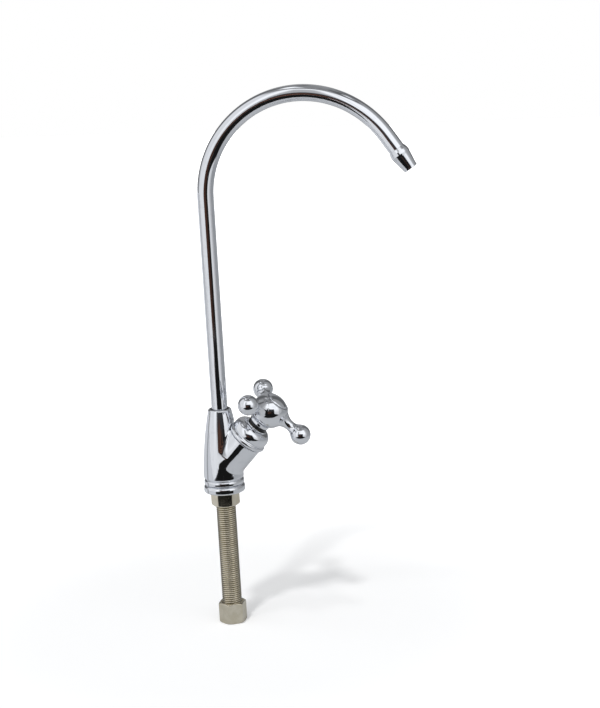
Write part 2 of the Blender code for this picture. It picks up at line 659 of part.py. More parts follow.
def make_cartridge():
    """The brass cartridge: housing with two windows, its seals, and the fixed ceramic disc."""
    seal_height = 0.5 * (FLANGE_BOTTOM + FLANGE_TOP)
    seal_middle = CHAMBER_RADIUS - HOUSING_SEAL_CORD - 0.5 * RUNNING_GAP
    groove = seal_middle - HOUSING_SEAL_CORD - 0.5 * RUNNING_GAP
    half_groove = 1.35 * HOUSING_SEAL_CORD
    ceiling = PLATE_TOP + 4 * GAP
    profile = [
        (NECK_RADIUS, NECK_TOP),
        (NECK_RADIUS, FLANGE_TOP),
        (FLANGE_RADIUS, FLANGE_TOP),
        (FLANGE_RADIUS, seal_height + half_groove),
        (groove, seal_height + half_groove),
        (groove, seal_height - half_groove),
        (FLANGE_RADIUS, seal_height - half_groove),
        (FLANGE_RADIUS, FLANGE_BOTTOM),
        (HOUSING_RADIUS, FLANGE_BOTTOM),
        (HOUSING_RADIUS, HOUSING_BOTTOM),
        (CAVITY_RADIUS, HOUSING_BOTTOM),
        (CAVITY_RADIUS, ceiling),
        (STEM_RADIUS + RUNNING_GAP, ceiling),
        (STEM_RADIUS + RUNNING_GAP, NECK_TOP),
    ]
    housing = turned("cartridge_housing", profile, valve_axis, "brass", steps=24)
    windows = block(
        "housing_windows",
        (2.5 * HOUSING_RADIUS, WINDOW_WIDTH, WINDOW_HEIGHT),
        (0, 0, MOVING_DISC_BOTTOM + 0.5 * DISC_THICKNESS),
        valve_axis,
    )
    keep_bore = rod("window_core", CAVITY_RADIUS - GAP, HOUSING_BOTTOM, ceiling + GAP, valve_axis)
    combine(windows, keep_bore)
    combine(housing, windows)
    seal_ring("housing_seal", seal_middle, HOUSING_SEAL_CORD, seal_height, valve_axis)
    ring(
        "seat_seal",
        DISC_RADIUS,
        DISC_RADIUS - SEAL_WALL,
        SEAL_BOTTOM,
        SEAL_BOTTOM + SEAL_HEIGHT,
        valve_axis,
        "rubber",
        steps=24,
    )
    ceramic_disc("fixed_disc", FIXED_DISC_BOTTOM, 0, DISC_PORT_PITCH, DISC_PORT_RADIUS, valve_axis)
    band = BONNET_TOP_RADIUS - 3 * GAP
    fit = NECK_RADIUS + RUNNING_GAP
    ring("neck_ring", band, fit, BAND_BOTTOM, BAND_TOP, valve_axis, "black_plastic")


def ceramic_disc(name, bottom, cuts_at, pitch, cut_radius, parent):
    """A ceramic disc with two round cuts on opposite sides, the first at cuts_at degrees."""
    disc = rod(name, DISC_RADIUS, bottom, bottom + DISC_THICKNESS, parent, "ceramic")
    for side in (0, 180):
        angle = math.radians(cuts_at + side)
        top = bottom + DISC_THICKNESS + GAP
        cut = rod(name + "_cut_" + str(side), cut_radius, bottom - GAP, top, parent, steps=16)
        cut.location = (pitch * math.cos(angle), pitch * math.sin(angle), 0)
        combine(disc, cut)
    return disc


def make_stem():
    """The spindle, the disc that it turns, its seal, and the clip over the neck."""
    seal_height = FLANGE_TOP + 2 * GAP
    seal_middle = STEM_RADIUS - STEM_SEAL_CORD
    groove = seal_middle - STEM_SEAL_CORD - 0.5 * RUNNING_GAP
    half_groove = 1.4 * STEM_SEAL_CORD
    clip_groove = STEM_RADIUS - 2 * GAP
    clip_top = CLIP_SEAT + STEM_CLIP_THICKNESS
    profile = [
        (SCREW_RADIUS + GAP, STEM_TOP),
        (STEM_RADIUS, STEM_TOP),
        (STEM_RADIUS, clip_top + RUNNING_GAP),
        (clip_groove, clip_top + RUNNING_GAP),
        (clip_groove, CLIP_SEAT - RUNNING_GAP),
        (STEM_RADIUS, CLIP_SEAT - RUNNING_GAP),
        (STEM_RADIUS, seal_height + half_groove),
        (groove, seal_height + half_groove),
        (groove, seal_height - half_groove),
        (STEM_RADIUS, seal_height - half_groove),
        (STEM_RADIUS, PLATE_TOP),
        (DISC_RADIUS, PLATE_TOP),
        (DISC_RADIUS, PLATE_BOTTOM),
        (0, PLATE_BOTTOM),
        (0, STEM_TOP - SCREW_LENGTH),
        (SCREW_RADIUS + GAP, STEM_TOP - SCREW_LENGTH),
    ]
    stem = turned("valve_stem", profile, handle_axis, "brass", steps=24)
    tongue = block(
        "drive_tongue",
        (1.7 * DISC_RADIUS, TONGUE_WIDTH, 2 * TONGUE_DEPTH),
        (0, 0, PLATE_BOTTOM),
        handle_axis,
    )
    combine(stem, tongue, "UNION")
    for side in range(4):
        angle = side * math.pi / 2
        reach = 0.5 * STEM_SQUARE + STEM_RADIUS
        flat = block(
            "drive_flat_" + str(side),
            (2 * STEM_RADIUS, 3 * STEM_RADIUS, STEM_TOP - clip_top),
            (reach * math.cos(angle), reach * math.sin(angle), 0.5 * (STEM_TOP + clip_top) + 2 * GAP),
            handle_axis,
        )
        flat.rotation_euler.z = angle
        combine(stem, flat)

    notch_pitch = DISC_RADIUS - 0.4 * DISC_NOTCH_RADIUS
    disc = ceramic_disc(
        "moving_disc", MOVING_DISC_BOTTOM, 90, notch_pitch, DISC_NOTCH_RADIUS, handle_axis
    )
    slot = block(
        "tongue_slot",
        (3 * DISC_RADIUS, TONGUE_WIDTH + 2 * RUNNING_GAP, 2 * (TONGUE_DEPTH + RUNNING_GAP)),
        (0, 0, PLATE_BOTTOM - RUNNING_GAP),
        handle_axis,
    )
    combine(disc, slot)
    seal_ring("stem_seal", seal_middle, STEM_SEAL_CORD, seal_height, handle_axis)
    ring(
        "stem_clip",
        STEM_RADIUS + 4 * GAP,
        clip_groove + 0.5 * RUNNING_GAP,
        CLIP_SEAT,
        clip_top,
        handle_axis,
        "spring_steel",
        steps=24,
    )


def arm_outline():
    """Profile of one arm along its own axis: root flare, neck, and ball, as touching arcs."""
    root_place = math.sqrt(HUB_RADIUS ** 2 - ARM_ROOT_RADIUS ** 2)
    run = ARM_NECK_PLACE - root_place
    rise = ARM_ROOT_RADIUS - ARM_NECK_RADIUS
    flare = (run ** 2 + rise ** 2) / (2 * rise)
    flare_end = 90 + math.degrees(math.asin(run / flare))
    outline = arc((ARM_NECK_PLACE, ARM_NECK_RADIUS + flare), flare, -flare_end, -90, 4)

    to_ball = ARM_REACH - ARM_NECK_PLACE
    lift = BALL_RADIUS ** 2 - to_ball ** 2 - ARM_NECK_RADIUS ** 2
    fillet = lift / (2 * (ARM_NECK_RADIUS - BALL_RADIUS))
    touch = math.degrees(math.atan2(ARM_NECK_RADIUS + fillet, -to_ball))
    outline += arc((ARM_NECK_PLACE, ARM_NECK_RADIUS + fillet), fillet, -90, touch - 180, 3)[1:]
    outline += arc((ARM_REACH, 0), BALL_RADIUS, touch, 0, 7)[1:]
    return outline


def make_handle():
    """One casting: the hub with its skirt, and three arms that end in balls."""
    centre = HUB_CENTRE
    skirt_top = SKIRT_BOTTOM + SKIRT_HEIGHT
    start = math.degrees(math.asin((skirt_top + SKIRT_GROOVE - centre) / HUB_RADIUS))
    seat_depth = math.sqrt(HUB_RADIUS ** 2 - BUTTON_RADIUS ** 2)
    end = math.degrees(math.asin(seat_depth / HUB_RADIUS)) - 2
    outline = [(0, centre + HUB_RADIUS * math.sin(math.radians(end)))]
    outline += arc((0, centre), HUB_RADIUS, end, start, 9)
    chamfer = SKIRT_GROOVE
    outline += [
        (SKIRT_RADIUS - SKIRT_GROOVE, skirt_top + 0.5 * SKIRT_GROOVE),
        (SKIRT_RADIUS, skirt_top),
        (SKIRT_RADIUS, SKIRT_BOTTOM + chamfer),
        (SKIRT_RADIUS - chamfer, SKIRT_BOTTOM),
        (0, SKIRT_BOTTOM),
    ]
    handle = turned("handle", outline, handle_axis, "chrome", steps=32, closed=False)
    inner = 0.55 * HUB_RADIUS
    for number in range(ARM_COUNT):
        profile = [(0, inner), (0.9 * ARM_ROOT_RADIUS, inner)]
        profile += [(height, place_out) for place_out, height in arm_outline()]
        arm = turned("arm_" + str(number), list(reversed(profile)), handle_axis, steps=16, closed=False)
        arm.location.z = centre + ARM_RISE
        arm.rotation_euler = (0, math.pi / 2, 2 * math.pi * number / ARM_COUNT)
        combine(handle, arm, "UNION")

    clip_room = rod(
        "clip_room",
        STEM_RADIUS + 5 * GAP,
        SKIRT_BOTTOM - GAP,
        CLIP_SEAT + STEM_CLIP_THICKNESS + 2 * GAP,
        handle_axis,
        steps=24,
    )
    across = STEM_SQUARE + 2 * GAP
    drive_bottom = CLIP_SEAT
    drive_top = centre - 0.5 * HUB_WEB
    drive = block(
        "square_drive",
        (across, across, drive_top - drive_bottom),
        (0, 0, 0.5 * (drive_top + drive_bottom)),
        handle_axis,
    )
    web_top = centre + 0.5 * HUB_WEB
    above = centre + HUB_RADIUS
    screw_hole = rod("screw_hole", SCREW_RADIUS + GAP, drive_bottom, web_top + GAP, handle_axis, steps=20)
    head_room = rod("head_room", BUTTON_PLUG + RUNNING_GAP, web_top, above, handle_axis)
    seat_floor = centre + BUTTON_SEAT
    button_seat = rod("button_seat", BUTTON_RADIUS + RUNNING_GAP, seat_floor, above, handle_axis, steps=32)
    for hole in (clip_room, drive, screw_hole, head_room, button_seat):
        combine(handle, hole)
    return handle


def make_handle_trim():
    """The screw that holds the handle on the stem, and the button that hides it."""
    seat = HUB_CENTRE + BUTTON_SEAT + GAP
    edge = HUB_CENTRE + math.sqrt(HUB_RADIUS ** 2 - BUTTON_RADIUS ** 2) - GAP
    bulge = (BUTTON_RADIUS ** 2 + BUTTON_CROWN ** 2) / (2 * BUTTON_CROWN)
    half_angle = math.degrees(math.asin(BUTTON_RADIUS / bulge))
    outline = arc((0, edge + BUTTON_CROWN - bulge), bulge, 90, 90 - half_angle, 6)
    screw_top = SCREW_SEAT + SCREW_HEAD_HEIGHT
    plug_bottom = min(seat - GAP, screw_top + GAP + 0.5 * (seat - screw_top))
    outline += [
        (BUTTON_RADIUS, seat),
        (BUTTON_PLUG, seat),
        (BUTTON_PLUG, plug_bottom),
        (0, plug_bottom),
    ]
    turned("handle_button", outline, handle_axis, "chrome", steps=32, closed=False)

    recess = 0.5 * SCREW_HEAD_HEIGHT
    profile = [
        (0, screw_top),
        (SCREW_HEAD_RADIUS, screw_top),
        (SCREW_HEAD_RADIUS, SCREW_SEAT),
        (SCREW_RADIUS, SCREW_SEAT),
        (SCREW_RADIUS, STEM_TOP - SCREW_LENGTH + 2 * GAP),
        (0, STEM_TOP - SCREW_LENGTH + 2 * GAP),
    ]
    screw = turned("handle_screw", profile, handle_axis, "spring_steel", steps=24, closed=False)
    for number, sizes in enumerate(((0.30, 1.40), (1.40, 0.30))):
        slot = block(
            "screw_slot_" + str(number),
            (sizes[0] * SCREW_HEAD_RADIUS, sizes[1] * SCREW_HEAD_RADIUS, 2 * recess),
            (0, 0, screw_top),
            handle_axis,
        )
        combine(screw, slot)


make_body()
make_base()
make_shank()
make_nuts()
make_spout()
make_swivel()
make_bonnet()
make_cartridge()
make_stem()
make_handle()
make_handle_trim()
bpy.context.view_layer.update()
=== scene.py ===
"""Reverse osmosis faucet in its studio, built section by section as the tap goes together.

All sizes are in millimetres and turned into metres when a mesh is made. Three kinds of
surface are used. A lathe turns an outline of (radius, height) pairs about an axis:
x = r cos a, y = r sin a, z = h. A sweep carries a circle along the spout's centre line:
a straight run, an arc of radius B about a middle point, and a straight run again. A skin is
the surface where a field, a signed distance in millimetres, is zero: fields of plain shapes
are joined and cut with soft minimum and soft maximum, so that their creases are rounded.
"""

import bmesh
import bpy
import numpy as np
from mathutils import Matrix


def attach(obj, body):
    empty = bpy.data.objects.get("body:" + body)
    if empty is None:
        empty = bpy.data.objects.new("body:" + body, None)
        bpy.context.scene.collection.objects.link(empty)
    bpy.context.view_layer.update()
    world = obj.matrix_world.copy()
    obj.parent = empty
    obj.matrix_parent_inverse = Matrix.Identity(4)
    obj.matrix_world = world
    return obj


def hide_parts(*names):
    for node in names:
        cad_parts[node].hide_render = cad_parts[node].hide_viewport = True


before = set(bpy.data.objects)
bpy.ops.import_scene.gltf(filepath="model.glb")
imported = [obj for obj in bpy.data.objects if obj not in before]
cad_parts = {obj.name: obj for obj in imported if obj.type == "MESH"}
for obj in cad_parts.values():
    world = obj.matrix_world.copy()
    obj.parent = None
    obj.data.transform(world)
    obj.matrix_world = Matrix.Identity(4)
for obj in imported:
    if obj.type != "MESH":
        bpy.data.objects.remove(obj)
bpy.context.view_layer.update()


# Body: one brass casting with the column and the valve branch, polished and chromed.
# The branch leaves the column in a small fillet, and a bead runs round the foot.
# The shank screws into it from below, the bonnet onto the branch.
MILLIMETRE = 0.001
COLUMN_RADIUS = 11.9
COLUMN_TOP = 50.6
COLUMN_FOOT = 8.7
COLUMN_MIDDLE, COLUMN_HALF = 29.5, 21.1
RIM_RADIUS = 6.82
BRANCH_RADIUS = 11.2
BRANCH_SHOULDER = 21.8
BRANCH_END = 25.4
VALVE_CROSSING = 15.4
VALVE_TILT = np.radians(42)


def soft_min(first, second, width):
    """Smaller of two fields. Where they differ by less than width: min - w/4 (1 - |d|/w)^2."""
    near = np.maximum(width - np.abs(first - second), 0) / width
    return np.minimum(first, second) - 0.25 * width * near ** 2


def soft_max(first, second, width):
    """Larger of two fields, blended in the same way as soft_min."""
    return -soft_min(-first, -second, width)


def capped(across, radius, height, bottom, top, edge):
    """Field of a round bar: distance across less its radius, cut off at both heights."""
    ends = np.abs(height - 0.5 * (top + bottom)) - 0.5 * (top - bottom)
    return soft_max(across - radius, ends, edge)


def on_valve(x, y, z):
    """Places seen from the valve: distance from its axis, and height along it from the crossing."""
    lean_x, lean_z = np.sin(VALVE_TILT), np.cos(VALVE_TILT)
    along = x * lean_x + (z - VALVE_CROSSING) * lean_z
    return np.hypot(y, x * lean_z - (z - VALVE_CROSSING) * lean_x), along


def skin(field, low, high, cell):
    """Points and faces where the field is zero, with the field's slope as normals.

    Each cell that the surface crosses gets one point, the mean of the crossings on its edges.
    Each crossed grid edge gets a face through the four cells round it. The points then step
    along the slope by value over slope until they lie on the surface.
    """
    low = np.asarray(low, float)
    count = np.ceil((np.asarray(high) - low) / cell).astype(int) + 1
    grid = np.meshgrid(*(low[a] + cell * np.arange(count[a]) for a in range(3)), indexing="ij")
    value = field(*grid)
    inside = value < 0
    shifts = np.array([(a, b, c) for a in (0, 1) for b in (0, 1) for c in (0, 1)])
    shape = tuple(count - 1)
    total = np.zeros(shape, np.int8)
    for a, b, c in shifts:
        total += inside[a:a + shape[0], b:b + shape[1], c:c + shape[2]]
    cells = np.argwhere((total > 0) & (total < 8))
    number = np.full(shape, -1)
    number[tuple(cells.T)] = np.arange(len(cells))
    pairs = [(a, b) for a in range(8) for b in range(8) if a < b]
    pairs = [(a, b) for a, b in pairs if np.abs(shifts[a] - shifts[b]).sum() == 1]
    first, second = np.array(pairs).T
    corner = value[tuple((cells[:, None] + shifts).transpose(2, 0, 1))]
    start, end = corner[:, first], corner[:, second]
    crossed = (start < 0) != (end < 0)
    share = np.where(crossed, start / np.where(crossed, start - end, 1), 0)[..., None]
    spots = shifts[first] + share * (shifts[second] - shifts[first])
    points = (spots * crossed[..., None]).sum(1) / crossed.sum(1)[:, None]
    points = low + cell * (cells + points)

    faces = []
    round_edge = ((0, 0), (1, 0), (1, 1), (0, 1))
    for axis in range(3):
        order = (axis, (axis + 1) % 3, (axis + 2) % 3)
        turn = np.moveaxis(inside, order, (0, 1, 2))
        cell_at = np.moveaxis(number, order, (0, 1, 2))
        change = turn[:-1, 1:-1, 1:-1].astype(int) - turn[1:, 1:-1, 1:-1]
        i, j, k = np.nonzero(change)
        around = np.stack([cell_at[i, j + b, k + c] for b, c in round_edge], 1)
        outward = change[i, j, k] > 0
        faces.append(np.where(outward[:, None], around, around[:, ::-1]))

    step, rounds, least_slope = 0.02, 4, 0.2

    def slope(at):
        """Central differences of the field."""
        x, y, z = at.T
        return np.stack([
            field(x + step, y, z) - field(x - step, y, z),
            field(x, y + step, z) - field(x, y - step, z),
            field(x, y, z + step) - field(x, y, z - step),
        ], 1) / (2 * step)

    for _ in range(rounds):
        steep = slope(points)
        squared = np.maximum((steep ** 2).sum(1), least_slope)[:, None]
        move = field(*points.T)[:, None] * steep / squared
        points = points - np.clip(move, -0.5 * cell, 0.5 * cell)
    normals = slope(points)
    normals /= np.linalg.norm(normals, axis=1)[:, None]
    return points, np.concatenate(faces), normals


def make_piece(name, points, faces, finish, body, nodes=(), normals=None, crease=40):
    """A mesh piece from points in millimetres, on its body, hiding the imported nodes it replaces.

    Without normals, doubles are merged and edges above the crease angle stay sharp.
    """
    mesh = bpy.data.meshes.new(name)
    places = np.reshape(points, (-1, 3)) * MILLIMETRE
    mesh.from_pydata(places.tolist(), [], np.asarray(faces).tolist())
    if normals is None:
        work = bmesh.new()
        work.from_mesh(mesh)
        bmesh.ops.remove_doubles(work, verts=work.verts, dist=0.001 * MILLIMETRE)
        work.to_mesh(mesh)
        work.free()
    mesh.shade_smooth()
    if normals is None:
        mesh.set_sharp_from_angle(angle=np.radians(crease))
    else:
        mesh.normals_split_custom_set_from_vertices(normals.tolist())
    mesh.materials.append(finish)
    piece = bpy.data.objects.new(name, mesh)
    bpy.context.scene.collection.objects.link(piece)
    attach(piece, body)
    if nodes:
        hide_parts(*nodes)
    return piece


class Shade:
    """One output socket of a shader tree. Sums on it add Math nodes, and node() adds any other."""

    def __init__(self, tree, socket=None):
        self.tree, self.socket = tree, socket

    def node(self, kind, settings=None, inputs=None, output=0):
        """A new node: its settings are set first, then its sockets are filled or linked."""
        made = self.tree.nodes.new("ShaderNode" + kind)
        for name, value in (settings or {}).items():
            setattr(made, name, value)
        for name, value in (inputs or {}).items():
            if isinstance(value, Shade):
                self.tree.links.new(value.socket, made.inputs[name])
            else:
                made.inputs[name].default_value = value
        return Shade(self.tree, made.outputs[output] if made.outputs else None)

    def math(self, operation, *values):
        """A Math node over these values."""
        return self.node("Math", {"operation": operation}, dict(enumerate(values)))

    def __add__(self, other):
        return self.math("ADD", self, other)

    def __sub__(self, other):
        return self.math("SUBTRACT", self, other)

    def __rsub__(self, other):
        return self.math("SUBTRACT", other, self)

    def __mul__(self, other):
        return self.math("MULTIPLY", self, other)

    __radd__, __rmul__ = __add__, __mul__

    def rise(self, start, end):
        """Smooth step: 0 at start, 1 at end."""
        limits = {"Value": self, "From Min": start, "From Max": end}
        return self.node("MapRange", {"interpolation_type": "SMOOTHSTEP"}, limits)

    def band(self, start, end, soft):
        """1 between start and end, with soft edges."""
        return self.rise(start - soft, start + soft) * (1 - self.rise(end - soft, end + soft))

    def blend(self, first, second):
        """Colour that goes from first to second as this value goes from 0 to 1."""
        return self.node("Mix", {"data_type": "RGBA"}, {0: self, 6: first, 7: second}, 2)


def finish_base(name, metal, rough):
    """A new material with its shader's own sockets set, and the tree to add to."""
    material = bpy.data.materials.new(name)
    material.use_nodes = True
    shader = material.node_tree.nodes["Principled BSDF"]
    shader.inputs["Metallic"].default_value = metal
    shader.inputs["Roughness"].default_value = rough
    return material, Shade(material.node_tree), shader


def fill(shader, values):
    """Links each value to the shader's socket of that name."""
    for name, value in values.items():
        value.tree.links.new(value.socket, shader.inputs[name])


def wear(tree, size, detail=3.0, stretch=(1, 1, 1)):
    """Noise on object coordinates, with spots of this many millimetres, centred on 0.5."""
    place = tree.node("TexCoord", output="Object")
    place = tree.node("Mapping", inputs={"Vector": place, "Scale": stretch})
    scale = 1 / (size * MILLIMETRE)
    return tree.node("TexNoise", inputs={"Vector": place, "Scale": scale, "Detail": detail})


def grained(tree, depth, height):
    """Bumps of this depth in millimetres, over a height from 0 to 1."""
    values = {"Strength": 1.0, "Distance": depth * MILLIMETRE, "Height": height}
    return tree.node("Bump", inputs=values)


def chrome(name, wave, depth, streak=(1, 1, 1)):
    """Polished chrome: a shallow wave left by the buffing wheel, and faint water marks.

    The wave's length and depth are in millimetres. The streak draws it out along an axis.
    """
    material, tree, shader = finish_base(name, 1.0, 0.05)
    marks = wear(tree, 3.5, 5).rise(0.52, 0.72)
    haze = wear(tree, 14.0, 2)
    rough = 0.035 + 0.05 * marks * haze + 0.03 * haze
    tint = haze.blend((0.80, 0.82, 0.86, 1), (0.86, 0.87, 0.90, 1))
    tint = (0.35 * marks).blend(tint, (0.70, 0.72, 0.76, 1))
    bump = grained(tree, depth, wear(tree, wave, 1, streak) + 0.05 * wear(tree, 0.9, 2))
    fill(shader, {"Base Color": tint, "Roughness": rough, "Normal": bump})
    return material


CAST_CHROME = chrome("cast_chrome", 7.0, 0.06)


def body_field(x, y, z):
    """The column's ogive, its foot bead and the branch, less the socket and the bores.

    The blend of column and branch is widest away from the branch's cut end.
    """
    across = np.hypot(x, y)
    share = np.clip((z - COLUMN_FOOT) / (COLUMN_TOP - 0.4 - COLUMN_FOOT), 0, 1.2)
    column = (across - COLUMN_RADIUS + (COLUMN_RADIUS - RIM_RADIUS) * share ** 1.75) * 0.97
    column = soft_max(column, np.abs(z - COLUMN_MIDDLE) - COLUMN_HALF, 0.9)
    core = capped(across, 10.9, z, 5.0, 12.0, 0.3)
    bead = soft_max(soft_max(across - COLUMN_RADIUS, z - 8.2, 1.8), 5.0 - z, 0.5)
    foot = soft_min(core, bead, 0.3)
    radius, along = on_valve(x, y, z)
    branch = soft_max(capped(radius, BRANCH_RADIUS, along, 0, BRANCH_SHOULDER, 0.6), -along, 0.3)
    thread = capped(radius, 10.1, along, 10, BRANCH_END, 0.4)
    spot_face = capped(radius, 12.6, along, BRANCH_SHOULDER, 36.4, 0.2)
    column = soft_max(column, -spot_face, 0.5)
    crotch = 0.1 + 1.7 * np.clip((along - 1) / 7, 0, 1)
    solid = soft_min(soft_min(column, branch, crotch), foot, 0.15)
    spigot = capped(across, 9.0, z, 1.7, 8.0, 0.3)
    solid = np.minimum(np.minimum(solid, thread), spigot)
    for hole in (
        # Socket of the spout, and the wider room for its bush.
        capped(across, 5.13, z, 35.0, 60.0, 0.2),
        capped(across, 5.82, z, 45.5, 60.0, 0.2),
        # Chamber of the valve, and the shank's thread.
        capped(radius, 8.7, along, 10.5, 40.0, 0.2),
        capped(across, 6.2, z, -5.0, 8.8, 0.2),
        # Water's way in, to the valve, and on to the spout.
        capped(across, 2.6, z, 0.0, VALVE_CROSSING, 0.2),
        capped(radius, 2.6, along, 0.0, 12.0, 0.2),
        capped(np.hypot(x - 2, y), 2.0, z, 29.0, 36.0, 0.2),
    ):
        solid = soft_max(solid, -hole, 0.3)
    return solid


points, faces, normals = skin(body_field, (-12.6, -12.7, 1.0), (26.6, 12.7, 51.4), 0.3)
make_piece("faucet_body", points, faces, CAST_CHROME, "body", ["valve_body"], normals)


# Base ring: a turned chromed ring with round edges that hides the hole's edge.
# It stands on the worktop and the body's foot sits on it.
def outline_through(corners, closed=True, arc_steps=8):
    """Outline through corners (radius, height, rounding).

    Each corner gives way to an arc that touches both its sides, at distance r / tan(half angle)
    from the corner. Each straight side gets points near its ends and about every millimetre.
    """
    corners = np.asarray(corners, float)
    spot, rounding = corners[:, :2], corners[:, 2]
    before, after = np.roll(spot, 1, 0) - spot, np.roll(spot, -1, 0) - spot
    arcs = []
    for index in range(len(spot)):
        if rounding[index] <= 0 or (not closed and index in (0, len(spot) - 1)):
            arcs.append(spot[index:index + 1])
            continue
        back = before[index] / np.linalg.norm(before[index])
        ahead = after[index] / np.linalg.norm(after[index])
        half = 0.5 * np.arccos(np.clip(back @ ahead, -1, 1))
        inward = (back + ahead) / np.linalg.norm(back + ahead)
        middle = spot[index] + inward * rounding[index] / np.sin(half)
        reach = rounding[index] / np.tan(half)
        start, end = spot[index] + back * reach - middle, spot[index] + ahead * reach - middle
        bend = np.pi - 2 * half
        t = np.linspace(0, 1, arc_steps + 1)[:, None]
        arc = np.sin((1 - t) * bend) * start + np.sin(t * bend) * end
        arcs.append(middle + arc / np.sin(bend))
    pieces = []
    for index, curve in enumerate(arcs):
        pieces.append(curve)
        if not closed and index == len(arcs) - 1:
            break
        start, end = curve[-1], arcs[(index + 1) % len(arcs)][0]
        length = np.linalg.norm(end - start)
        if length > 0.2:
            near = 0.04 / length
            share = np.linspace(0, 1, int(length) + 2)[1:-1]
            share = np.concatenate([[near], share, [1 - near]])
            pieces.append(start + share[:, None] * (end - start))
    return np.concatenate(pieces)


def lathe(outline, steps=128):
    """Every outline point (radius, height) goes round the axis: x = r cos a, y = r sin a."""
    angle = 2 * np.pi * np.arange(steps) / steps
    radius, height = np.asarray(outline)[:, 0, None], np.asarray(outline)[:, 1, None]
    return np.stack([radius * np.cos(angle), radius * np.sin(angle), height + 0 * angle], -1)


def wrap_faces(rows, columns, closed):
    """Four-cornered faces over a grid whose columns close round, and its rows too if closed."""
    i = np.arange(rows if closed else rows - 1)[:, None]
    j = np.arange(columns)[None, :]
    here, there = i * columns, (i + 1) % rows * columns
    along = (j + 1) % columns
    return np.stack([here + j, here + along, there + along, there + j], -1).reshape(-1, 4)


def turned(name, outline, finish, body, nodes=(), closed=True, steps=128, seat=None):
    """A lathe piece whose outline runs up its outside. A seat (origin, lean) places it."""
    grid = lathe(outline, steps)
    if seat:
        grid = leaned(grid, *seat)
    faces = wrap_faces(len(outline), steps, closed)
    return make_piece(name, grid, faces, finish, body, nodes)


TURNED_CHROME = chrome("turned_chrome", 9.0, 0.03)
ring = [(9.3, 0, 0.1), (12.3, 0, 1.0), (12.3, 4.7, 2.0), (9.3, 4.7, 0.1)]
turned("foot_ring", outline_through(ring), TURNED_CHROME, "body", ["base_ring"])


# Shank: a hollow brass tube with a rolled fine thread, plated with dull nickel.
# It is screwed up into the body and passes through the worktop.
SHANK_RADIUS = 5.9
THREAD_PITCH = 1.25
THREAD_DEPTH = 0.6
THREAD_START, THREAD_END = -76.3, 7.9
RUN_OUT = 1.2


def nickel(name, rough, root=None):
    """Dull warm nickel plate: cloudy colour, fine scratches, and painted shade in a thread's root.
    """
    material, tree, shader = finish_base(name, 1.0, rough)
    cloud = wear(tree, 6.0, 4)
    grain = wear(tree, 0.5, 3, (1, 1, 0.25))
    tint = cloud.rise(0.35, 0.65).blend((0.70, 0.64, 0.505, 1), (0.80, 0.74, 0.61, 1))
    tint = (0.5 * grain.rise(0.55, 0.75)).blend(tint, (0.54, 0.49, 0.38, 1))
    # Painted shade: inside the root's radius the thread is darker than at its crests.
    if root:
        place = tree.node("TexCoord", output="Object")
        flat = tree.node("VectorMath", {"operation": "MULTIPLY"}, {0: place, 1: (1, 1, 0)})
        off_axis = tree.node("VectorMath", {"operation": "LENGTH"}, {0: flat}, "Value")
        out = off_axis.rise(root * MILLIMETRE, (root + 0.35) * MILLIMETRE)
        tint = out.blend((0.30, 0.27, 0.20, 1), tint)
    rough = rough + 0.14 * (cloud - 0.5) + 0.08 * grain
    fill(shader, {"Base Color": tint, "Roughness": rough, "Normal": grained(tree, 0.008, grain)})
    return material


SHANK_NICKEL = nickel("shank_nickel", 0.17, SHANK_RADIUS - THREAD_DEPTH)
steps = 72
angle = 2 * np.pi * np.arange(steps) / steps
height = np.arange(THREAD_START, THREAD_END + 0.1, THREAD_PITCH / 10)[:, None]
turn_share = (height / THREAD_PITCH - angle / (2 * np.pi)) % 1
ridge = np.clip(np.abs(turn_share - 0.5) * 2.6 - 0.2, 0, 0.85) / 0.85
fade = np.clip((height - THREAD_START) / RUN_OUT, 0, 1)
fade = fade * np.clip((THREAD_END - height) / RUN_OUT, 0, 1)
radius = SHANK_RADIUS - THREAD_DEPTH * (1 - ridge * fade)
thread = np.stack([radius * np.cos(angle), radius * np.sin(angle), height + 0 * angle], -1)
bore = [
    (5.2, 8.5), (2.6, 8.5), (2.6, -61.3), (3.2, -62.0), (3.2, -75.6), (4.6, -77.0), (5.1, -77.0),
]
shank = np.concatenate([thread, lathe(bore, steps)])
faces = wrap_faces(len(shank), steps, True)
nodes = ["threaded_shank"]
make_piece("threaded_tail", shank, faces, SHANK_NICKEL, "body", nodes, crease=60)


# Nuts: six-sided brass nuts with soft corners, chamfered on a lathe and plated like the shank.
# The upper one clamps the faucet to the worktop, the lower one holds the supply tube.
NUT_FLAT = 7.5
CHAMFER_SINE, CHAMFER_COSINE = 0.5, 0.866
NUT_NICKEL = nickel("nut_nickel", 0.11)


def nut_field(turn, bottom, top, chamfers, hole, countersink):
    """Field of a nut: the largest of six flats, two ends and two cones, less its threaded hole."""
    def field(x, y, z):
        side = np.abs(np.cos(turn) * x + np.sin(turn) * y)
        for step in (1, 2):
            lean = turn + step * np.pi / 3
            side = soft_max(side, np.abs(np.cos(lean) * x + np.sin(lean) * y), 0.45)
        across = np.hypot(x, y)
        solid = capped(side, NUT_FLAT, z, bottom, top, 0.4)
        for end, way in zip((bottom, top), (-1, 1)):
            if way in chamfers:
                cone = (across - NUT_FLAT + 0.25) * CHAMFER_SINE
                solid = soft_max(solid, cone + (z - end) * way * CHAMFER_COSINE, 0.3)
        open_end = across - hole - countersink * np.clip(1 - (top - z), 0, 1)
        return soft_max(solid, -open_end, 0.3)
    return field


